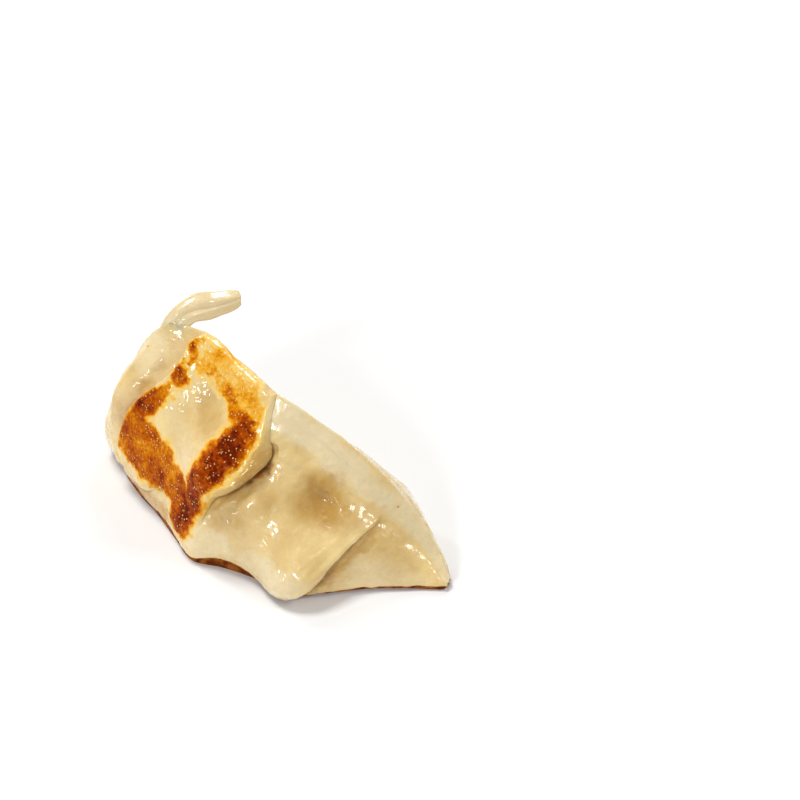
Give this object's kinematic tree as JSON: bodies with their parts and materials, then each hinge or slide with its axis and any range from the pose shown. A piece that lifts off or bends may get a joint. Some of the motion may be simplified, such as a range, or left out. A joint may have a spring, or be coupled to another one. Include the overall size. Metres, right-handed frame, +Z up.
{
  "type": "gyoza dumpling",
  "caption": "Pan-fried gyoza dumpling with a pleated front, a crisp browned panel, a sealed rim with a loose tongue of dough, and a flat fried foot.",
  "frame": {"origin": "on the surface the dumpling stands on, under the middle of its bounding box", "axes": "+X runs from the blunt left tip to the thin right tip, -Y is the pleated front, +Z is up"},
  "size_m": [0.064, 0.0278, 0.0344],
  "materials": {
    "dough": "steamed wheat dough with a thin film of oil, translucent and pale yellow, crisp golden to dark brown where it met the pan"
  },
  "bodies": {
    "root": {"dumpling": "dough"}
  },
  "joints": []
}
